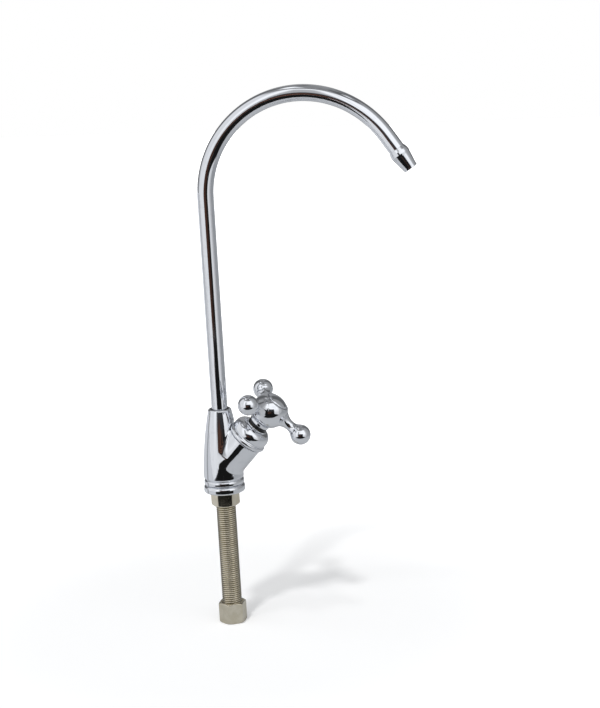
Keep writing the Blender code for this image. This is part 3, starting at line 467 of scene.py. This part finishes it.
for name, turn, bottom, top, chamfers, hole, node in (
    ("worktop_nut", np.radians(12), -8.8, -0.3, (-1,), 6.05, "mounting_nut"),
    ("supply_nut", np.radians(27), -82.4, -69.7, (-1, 1), 6.05, "compression_nut"),
):
    field = nut_field(turn + np.pi / 6, bottom, top, chamfers, hole, 0.7)
    points, faces, normals = skin(field, (-9.2, -9.2, bottom - 0.7), (9.2, 9.2, top + 0.7), 0.3)
    make_piece(name, points, faces, NUT_NICKEL, "body", [node], normals)


# Spout: a thin brass tube bent on a mandrel, polished lengthwise and chromed.
# Its lower end turns in the column's socket, and its upper end carries the outlet.
TUBE_RADIUS = 4.75
TUBE_WALL = 0.8
BEND_RADIUS = 58.65
BEND_START = 175.6
BEND_ANGLE = np.radians(145.4)
TUBE_FOOT = 43.65
OUTLET_RUN = 14.6
OUTLET_PLACE = 10.1
TUBE_CHROME = chrome("tube_chrome", 5.0, 0.02, (1, 1, 0.08))
straight = np.linspace(TUBE_FOOT, BEND_START, 46)[:-1]
bend = np.linspace(0, BEND_ANGLE, 97)
outlet = np.linspace(0, OUTLET_RUN, 9)[1:]
lean = np.concatenate([0 * straight, bend, BEND_ANGLE + 0 * outlet])
line_x = np.concatenate([0 * straight, BEND_RADIUS * (1 - np.cos(bend)), 0 * outlet])
line_z = np.concatenate([straight, BEND_START + BEND_RADIUS * np.sin(bend), 0 * outlet])
bend_end = BEND_RADIUS * (1 - np.cos(BEND_ANGLE)), BEND_START + BEND_RADIUS * np.sin(BEND_ANGLE)
line_x[-len(outlet):] = bend_end[0] + outlet * np.sin(BEND_ANGLE)
line_z[-len(outlet):] = bend_end[1] + outlet * np.cos(BEND_ANGLE)


def sweep(radius, steps=72):
    """A circle carried along the centre line: line + r cos a * side + r sin a * y.

    The side is the direction in the bend's plane that is square to the line.
    """
    angle = 2 * np.pi * np.arange(steps) / steps
    x = line_x[:, None] + radius * np.cos(angle) * np.cos(lean)[:, None]
    z = line_z[:, None] - radius * np.cos(angle) * np.sin(lean)[:, None]
    return np.stack([x, radius * np.sin(angle) + 0 * x, z], -1)


tube = np.concatenate([sweep(TUBE_RADIUS), sweep(TUBE_RADIUS - TUBE_WALL)[::-1]])
faces = wrap_faces(len(tube), 72, True)
make_piece("gooseneck", tube, faces, TUBE_CHROME, "spout", ["spout_tube"])


# Outlet: a turned chromed cone pressed over the tube's end.
# Its collar is the widest place, and its mouth has a thin lip.
def leaned(points, origin, lean):
    """Turns upright points by the lean from +Z towards +X, then moves their origin to its place."""
    x, y, z = np.moveaxis(points, -1, 0)
    across, up = x * np.cos(lean) + z * np.sin(lean), z * np.cos(lean) - x * np.sin(lean)
    return np.stack([across, y, up], -1) + origin


cone = [
    (4.87, 0.0, 0.1), (5.0, 0.0, 0.1), (5.55, 1.9, 1.2), (5.7, 3.6, 0.5), (5.35, 5.0, 1.2),
    (4.15, 12.5, 0.2), (4.1, 13.5, 0.3), (3.2, 13.5, 0.2), (3.3, 11.5, 0.2), (3.6, 4.8, 0.2),
    (4.87, 4.8, 0.1),
]
cone = outline_through(cone)
collar_x = bend_end[0] + OUTLET_PLACE * np.sin(BEND_ANGLE)
collar_z = bend_end[1] + OUTLET_PLACE * np.cos(BEND_ANGLE)
seat = (np.array((collar_x, 0, collar_z)), BEND_ANGLE)
turned("outlet_cone", cone, TURNED_CHROME, "spout", ["spout_nozzle"], seat=seat)


# Bonnet: a domed brass cover, turned, chromed and screwed over the branch's thread.
# A bead runs round its foot with a groove above it, and a small rim closes the top.
VALVE_SEAT = (np.array([0, 0, VALVE_CROSSING]), VALVE_TILT)
t = np.linspace(0, np.pi / 2, 40)
dome = np.stack([6.9 + 4.6 * np.cos(t), 27.3 + 5.25 * np.sin(t)], 1)
bead_angle = np.radians(np.linspace(-78, 62, 20))
bead = np.stack([10.8 + 1.5 * np.cos(bead_angle), 23.6 + 1.5 * np.sin(bead_angle)], 1)
inside = [
    (5.3, 33.1), (5.3, 31.4), (7.8, 28.2), (7.8, 25.7), (10.4, 25.7), (10.4, 22.1), (11.0, 22.1),
]
groove = [(11.25, 25.2), (11.15, 25.45), (11.25, 25.7), (11.42, 25.95), (11.5, 26.3), (11.5, 26.8)]
top_rim = [(6.95, 32.6), (6.95, 32.85), (6.85, 33.03), (6.7, 33.1), (6.0, 33.1)]
bonnet = np.concatenate([bead, groove, dome, top_rim, inside])
turned("valve_cover", bonnet, CAST_CHROME, "body", ["bonnet"], seat=VALVE_SEAT)


# Neck ring: a black moulded washer between the bonnet and the handle's skirt.
# It fills most of the gap between them.
def black_plastic(name, rough):
    """Moulded black plastic with a fine grain and dust in patches."""
    material, tree, shader = finish_base(name, 0.0, rough)
    dust = wear(tree, 4.0, 4).rise(0.5, 0.8)
    tint = (0.4 * dust).blend((0.006, 0.006, 0.007, 1), (0.035, 0.034, 0.032, 1))
    bump = grained(tree, 0.02, wear(tree, 0.4, 2))
    fill(shader, {"Base Color": tint, "Roughness": rough + 0.2 * dust, "Normal": bump})
    return material


BLACK = black_plastic("neck_black", 0.35)
washer = [(5.1, 33.4, 0.1), (6.0, 33.4, 0.25), (6.0, 34.9, 0.25), (5.1, 34.9, 0.1)]
washer = outline_through(washer)
turned("neck_washer", washer, BLACK, "body", ["neck_ring"], seat=VALVE_SEAT)


# Handle: one casting with a round hub, a turned skirt and three arms that end in balls.
# It is chromed, pushed on the stem's square and held by a screw under the button.
HUB_RADIUS = 10.7
HUB_CENTRE = 45.6
ARM_RISE = 0.7
ARM_REACH = 23.0
ARM_NECK = 3.0
ARM_NECK_PLACE = 15.0
ROOT_ARC, ROOT_SPAN = 8.67, 5.6
BALL_ARC, BALL_SPAN = 6.17, 4.05
BALL_RADIUS = 6.0


def handle_field(x, y, z):
    """Hub, skirt and arms, less the room for the stem, the screw and the button.

    An arm's radius is its neck's plus two arcs: one flares to the hub, one touches the ball.
    """
    across = np.hypot(x, y)
    hub = np.sqrt(across ** 2 + (z - HUB_CENTRE) ** 2) - HUB_RADIUS
    skirt = capped(across, 6.4, z, 35.2, 37.6, 0.35)
    stalk = capped(across, 6.1, z, 36.5, 41.0, 0.2)
    solid = soft_min(np.minimum(stalk, skirt), hub, 0.3)
    for number in range(3):
        way = 2 * np.pi * number / 3
        out = np.cos(way) * x + np.sin(way) * y
        side = np.hypot(np.cos(way) * y - np.sin(way) * x, z - HUB_CENTRE - ARM_RISE)
        inner = np.clip(ARM_NECK_PLACE - out, 0, ROOT_SPAN)
        outer = np.clip(out - ARM_NECK_PLACE, 0, BALL_SPAN)
        flare = ROOT_ARC - np.sqrt(ROOT_ARC ** 2 - inner ** 2)
        flare = flare + BALL_ARC - np.sqrt(BALL_ARC ** 2 - outer ** 2)
        neck = soft_max(0.9 * (side - ARM_NECK - flare), np.abs(out - 12.5) - 6.5, 0.2)
        ball = np.sqrt((out - ARM_REACH) ** 2 + side ** 2) - BALL_RADIUS
        solid = soft_min(solid, soft_min(neck, ball, 0.4), 0.6)
    recess = capped(across, 6.85, z, 52.57, 60, 0.1)
    drive = np.maximum(np.abs(x), np.abs(y)) - 2.8
    drive = soft_max(drive, np.abs(z - 39.5) - 5.0, 0.2)
    screw_hole = capped(across, 2.2, z, 35, 60, 0.2)
    screw_room = soft_min(capped(across, 4.12, z, 46.7, 60, 0.2), screw_hole, 0.1)
    clip_room = capped(across, 5.0, z, 34, 36.4, 0.2)
    solid = soft_max(solid, -recess, 1.3)
    return soft_max(solid, -np.minimum(np.minimum(drive, screw_room), clip_room), 0.2)


points, faces, normals = skin(handle_field, (-18.4, -27, 34.6), (29.6, 27, 57), 0.27)
points = leaned(points, *VALVE_SEAT)
normals = leaned(normals, 0, VALVE_TILT)
nodes = ["handle"]
make_piece("cross_handle", points, faces, CAST_CHROME, "handle_group", nodes, normals)


# Button: a pressed chromed cap that snaps into the hub over the screw.
# Its crown is part of a sphere, and its rim curls in to leave a fine seam round it.
CROWN_RADIUS = 12.4
CROWN_TOP = 55.4
t = np.radians(np.linspace(28.9, 0, 24))
crown = np.stack([CROWN_RADIUS * np.sin(t), CROWN_TOP - CROWN_RADIUS * (1 - np.cos(t))], 1)
rim = [
    (0, 51.0), (4.0, 51.0), (4.0, 52.7), (6.35, 52.7), (6.5, 52.75), (6.56, 52.9), (6.55, 53.1),
    (6.48, 53.3), (6.3, 53.55),
]
cap, nodes = np.concatenate([rim, crown]), ["handle_button"]
turned("hub_button", cap, TURNED_CHROME, "handle_group", nodes, False, seat=VALVE_SEAT)


# Inner pieces: the cartridge, its seals and discs, the swivel's bush, clip and spigot.
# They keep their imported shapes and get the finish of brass, rubber, ceramic, plastic or steel.
def plain_finish(name, metal, rough, light, dark, grain_size):
    """A machined or moulded surface: two close colours in cloudy patches, and a fine grain."""
    material, tree, shader = finish_base(name, metal, rough)
    cloud = wear(tree, 3.0, 4)
    grain = wear(tree, grain_size, 3)
    tint = cloud.rise(0.35, 0.65).blend((*dark, 1), (*light, 1))
    rough = rough + 0.12 * (grain - 0.5)
    fill(shader, {"Base Color": tint, "Roughness": rough, "Normal": grained(tree, 0.02, grain)})
    return material


BRASS = plain_finish("machined_brass", 1.0, 0.28, (0.80, 0.62, 0.30), (0.66, 0.48, 0.22), 0.4)
RUBBER = plain_finish("seal_rubber", 0.0, 0.62, (0.03, 0.03, 0.03), (0.015, 0.015, 0.016), 0.3)
CERAMIC = plain_finish("disc_ceramic", 0.0, 0.15, (0.88, 0.87, 0.83), (0.80, 0.78, 0.73), 0.6)
STEEL = plain_finish("clip_steel", 1.0, 0.28, (0.56, 0.56, 0.58), (0.44, 0.44, 0.46), 0.3)
DARK_BUSH = black_plastic("bush_black", 0.4)
INNER_FINISHES = {
    "base_gasket": (RUBBER, "rubber"),
    "compression_sleeve": (BRASS, "brass"),
    "spout_bush": (DARK_BUSH, "black_plastic"),
    "spout_clip": (STEEL, "spring_steel"),
    "cartridge_housing": (BRASS, "brass"),
    "housing_seal": (RUBBER, "rubber"),
    "seat_seal": (RUBBER, "rubber"),
    "fixed_disc": (CERAMIC, "ceramic"),
    "spout_spigot": (BRASS, "brass"),
    "spout_seal_lower": (RUBBER, "rubber"),
    "spout_seal_upper": (RUBBER, "rubber"),
    "handle_screw": (STEEL, "spring_steel"),
    "valve_stem": (BRASS, "brass"),
    "moving_disc": (CERAMIC, "ceramic"),
    "stem_seal": (RUBBER, "rubber"),
    "stem_clip": (STEEL, "spring_steel"),
}
for node, (finish, slot) in INNER_FINISHES.items():
    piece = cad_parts[node]
    piece.data.materials.clear()
    piece.data.materials.append(finish)


# Studio: a white sweep under the faucet, two soft suns for its shadows, and soft boxes on both
# sides of the camera. The chrome also shows the sweep's front edge, the dark table beyond it,
# and a dark card that stands before the camera and is hidden from it. Lengths are in metres.
CAMERA_YAW, CAMERA_PITCH, CAMERA_ROLL = np.radians([12.17, 12.51, 3.23])
DEGREES = 180 / np.pi
FLOOR_HEIGHT = -0.0824
FLOOR_HALF = 3
SHEET_FRONT = 0.187
TABLE_FRONT = 0.85
TABLE_LEFT, TABLE_RIGHT = -0.29, 0.34
CARD_FRONT = 1.0
CARD_OUTLINE = (
    (-0.62, -0.6), (0.56, -0.6), (0.56, 0.38), (-0.46, 0.38), (-0.46, -0.17), (-0.62, -0.17),
)
DARK_LINE = (-110, -99, 3)

scene = bpy.context.scene
scene.view_settings.view_transform = "Standard"
world = bpy.data.worlds.new("studio")
scene.world = world
world.use_nodes = True
world.node_tree.nodes.clear()
toward = float(np.sin(CAMERA_YAW)), float(-np.cos(CAMERA_YAW))


def from_camera(place):
    """Splits places or directions into their parts towards the camera, to its right, and up."""
    x, y, z = (place.node("SeparateXYZ", inputs={0: place}, output=axis) for axis in range(3))
    return x * toward[0] + y * toward[1], y * toward[0] - x * toward[1], z


def step_to(value, share, target):
    """Moves a brightness towards its target by a share."""
    return value + (target - value) * share


tree = Shade(world.node_tree)
direction = tree.node("TexCoord", output="Generated")
front, right, up = from_camera(direction)
azimuth = tree.math("ARCTAN2", right, front) * DEGREES
height = tree.math("ARCSINE", up) * DEGREES
stretch = tree.node("Mapping", inputs={"Vector": direction, "Scale": (5.0, 5.0, 0.5)})
cloth = tree.node("TexNoise", inputs={"Vector": stretch, "Scale": 1.6, "Detail": 2.0}) - 0.5
clutter = {"Vector": direction, "Scale": 2.6, "Detail": 3.0, "Roughness": 0.6}
room = tree.node("TexNoise", inputs=clutter)

# The left box fades towards the wall and has a dark line near its end.
lifted = height.rise(-8, 20)
fade = step_to(azimuth.rise(-112, -94), height.band(-15, -10, 1), azimuth.rise(-105, -51))
upper = 0.84 + 0.3 * azimuth.rise(-60, -40)
left_box = step_to(0.41 + 0.43 * fade, lifted, upper) + 0.25 * cloth
left_box = left_box * (1 - 0.55 * azimuth.band(*DARK_LINE) * (1 - height.rise(-6, 10)))

# The right box is brightest near the camera and has a seam.
near = 1 - azimuth.rise(52, 76)
right_box = step_to(0.78 - 0.42 * azimuth.rise(40, 95), lifted * near, 1.14)
right_box = right_box * (1 - 0.3 * azimuth.band(62, 66, 1)) + 0.1 * cloth

# Both stand against a grey wall with two dark openings behind the faucet. A grey panel
# hangs beside the camera.
light = step_to(0.33 + 0.1 * cloth, azimuth.band(-114, -2, 6), left_box)
light = step_to(light, azimuth.band(-2, 112, 6), right_box)
light = light * (1 - 0.6 * azimuth.band(-158, -126, 6) - 0.6 * azimuth.band(126, 158, 6))
light = light * (1 - 0.55 * azimuth.band(-33, -15, 4) * height.band(0, 46, 6))

# The ceiling has two rows of lamps and dim clutter.
lamps = azimuth.band(-130, -45, 8) * height.band(68, 76, 3)
lamps = lamps + 0.8 * azimuth.band(50, 95, 8) * height.band(66, 73, 3)
ceiling = 0.30 + 0.9 * lamps - 0.2 * room.rise(0.45, 0.6)
light = step_to(light, height.rise(53, 62), ceiling)
tint = light.node("CombineColor", inputs={0: light * 0.965, 1: light * 0.98, 2: light})
seen = tree.node("LightPath", output="Is Camera Ray")
shown = tree.node("Background", inputs={"Color": seen.blend(tint, (1, 1, 1, 1)), "Strength": 1.0})
tree.node("OutputWorld", inputs={"Surface": shown})


def sheet(name, corners):
    """A flat piece of the studio between these corners, in metres."""
    mesh = bpy.data.meshes.new(name)
    mesh.from_pydata(corners, [], [range(len(corners))])
    piece = bpy.data.objects.new(name, mesh)
    scene.collection.objects.link(piece)
    return piece


# The sweep is white to the camera and greyer in the chrome. Its front edge gives way to the
# table, and beside the table the chrome sees past it.
ends = ((-1, -1), (1, -1), (1, 1), (-1, 1))
floor = sheet("floor", [(a * FLOOR_HALF, b * FLOOR_HALF, FLOOR_HEIGHT) for a, b in ends])
paper, tree, shader = finish_base("white_sweep", 0.0, 0.9)
shader.inputs["Specular IOR Level"].default_value = 0.0
shader.inputs["Emission Strength"].default_value = 1.0
place = tree.node("TexCoord", output="Object")
front, right, _ = from_camera(place)
away = tree.node("VectorMath", {"operation": "LENGTH"}, {0: place}, "Value")
glossy = tree.node("LightPath", output="Is Glossy Ray")
edge = front.rise(SHEET_FRONT - 0.006, SHEET_FRONT + 0.006)
table = 1 - front.rise(TABLE_FRONT - 0.03, TABLE_FRONT + 0.03)
table = right.band(TABLE_LEFT, TABLE_RIGHT, 0.02) * table
fibre = wear(tree, 1.4, 2).blend((0.80, 0.80, 0.80, 1), (0.83, 0.83, 0.83, 1))
mirrored = away.rise(0.12, 0.6).blend((0.57, 0.58, 0.59, 1), (0.36, 0.37, 0.38, 1))
mirrored = (1 - right.rise(-0.24, -0.05)).blend(mirrored, (0.72, 0.73, 0.75, 1))
strip = (tree.math("ARCTAN2", right, front) * DEGREES).band(*DARK_LINE)
mirrored = (0.6 * strip).blend(mirrored, (0.15, 0.15, 0.16, 1))
mirrored = (edge * table).blend(mirrored, (0.01, 0.01, 0.01, 1))
# Painted light: the sweep glows to the camera, more strongly further from the faucet, which washes
# out the far ends of the shadows.
glow = tree.node("LightPath", output="Is Camera Ray") * (0.25 + 0.5 * away.rise(0.13, 0.42))
glow = glow.blend((0, 0, 0, 1), (1, 1, 1, 1))
fill(shader, {"Base Color": glossy.blend(fibre, mirrored), "Emission Color": glow})
clear = tree.node("BsdfTransparent")
mixed = {0: glossy * edge * (1 - table), 1: Shade(tree.tree, shader.outputs[0]), 2: clear}
mixed = tree.node("MixShader", inputs=mixed)
tree.tree.links.new(mixed.socket, tree.tree.nodes["Material Output"].inputs["Surface"])
floor.data.materials.append(paper)

# The card is nearly black, with folds of warm cloth at its left and a warm streak right of
# its middle.
corners = []
for side, up in CARD_OUTLINE:
    x = CARD_FRONT * toward[0] - side * toward[1]
    corners.append((x, CARD_FRONT * toward[1] + side * toward[0], up))
card = sheet("dark_card", corners)
cloth_black, tree, shader = finish_base("card_cloth", 0.0, 1.0)
shader.inputs["Base Color"].default_value = (0, 0, 0, 1)
shader.inputs["Specular IOR Level"].default_value = 0.0
shader.inputs["Emission Strength"].default_value = 1.0
place = tree.node("TexCoord", output="Object")
_, right, up = from_camera(place)
folds = tree.node("Mapping", inputs={"Vector": place, "Scale": (1.0, 1.0, 0.1)})
folds = tree.node("TexNoise", inputs={"Vector": folds, "Scale": 16.0, "Detail": 2.0})
folds = folds.rise(0.44, 0.58)
warm = right.band(-0.6, 0.02, 0.03) * up.band(-0.36, 0.15, 0.06) * (0.15 + 0.85 * folds)
warm = warm + 0.6 * right.band(0.08, 0.16, 0.02) * up.band(-0.1, 0.12, 0.05)
tint = up.rise(0.0, 0.36).blend((0.008, 0.008, 0.008, 1), (0.06, 0.06, 0.065, 1))
tint = warm.blend(tint, (0.11, 0.05, 0.033, 1))
fill(shader, {"Emission Color": tint})
card.data.materials.append(cloth_black)
card.visible_camera = card.visible_diffuse = card.visible_shadow = False
card.visible_transmission = False

# Each sun has the angle from +X that its light travels to, its height, strength and width.
for name, azimuth_to, elevation, strength, spread in (
    ("window_sun", 80, 57, 1.15, 6),
    ("side_sun", 60, 71, 0.26, 6),
):
    lamp = bpy.data.lights.new(name, "SUN")
    lamp.energy = strength
    lamp.angle = float(np.radians(spread))
    sun = bpy.data.objects.new(name, lamp)
    sun.rotation_euler = (float(np.radians(90 - elevation)), 0, float(np.radians(azimuth_to - 90)))
    sun.visible_glossy = False
    scene.collection.objects.link(sun)


# Camera: at the photograph's place and angle. It sees the origin this many millimetres to its
# right, above its axis and ahead.
ORIGIN_SEEN = (-44.88, -81.44, 1101.0)
FOCAL_PIXELS = 1840.58
PICTURE_ROWS = 708
SENSOR_HEIGHT = 24.0


def turn_rows():
    """Rows of the camera's right, up and back: roll times pitch times yaw."""
    cy, sy = np.cos(CAMERA_YAW), np.sin(CAMERA_YAW)
    cp, sp = np.cos(CAMERA_PITCH), np.sin(CAMERA_PITCH)
    cr, sr = np.cos(CAMERA_ROLL), np.sin(CAMERA_ROLL)
    yaw = np.array([[cy, sy, 0], [-sy, cy, 0], [0, 0, 1]])
    pitch = np.array([[1, 0, 0], [0, sp, cp], [0, -cp, sp]])
    roll = np.array([[cr, -sr, 0], [sr, cr, 0], [0, 0, 1]])
    return roll @ pitch @ yaw


rows = turn_rows()
right, up, ahead = ORIGIN_SEEN
spot = rows.T @ np.array([-right, -up, ahead]) * MILLIMETRE
placed = np.eye(4)
placed[:3, :3] = rows.T
placed[:3, 3] = spot
lens = bpy.data.cameras.new("camera")
lens.sensor_fit = "VERTICAL"
lens.sensor_height = SENSOR_HEIGHT
lens.lens = FOCAL_PIXELS * SENSOR_HEIGHT / PICTURE_ROWS
lens.clip_end = 20.0
camera = bpy.data.objects.new("camera", lens)
camera.matrix_world = Matrix(placed.tolist())
scene.collection.objects.link(camera)
scene.camera = camera
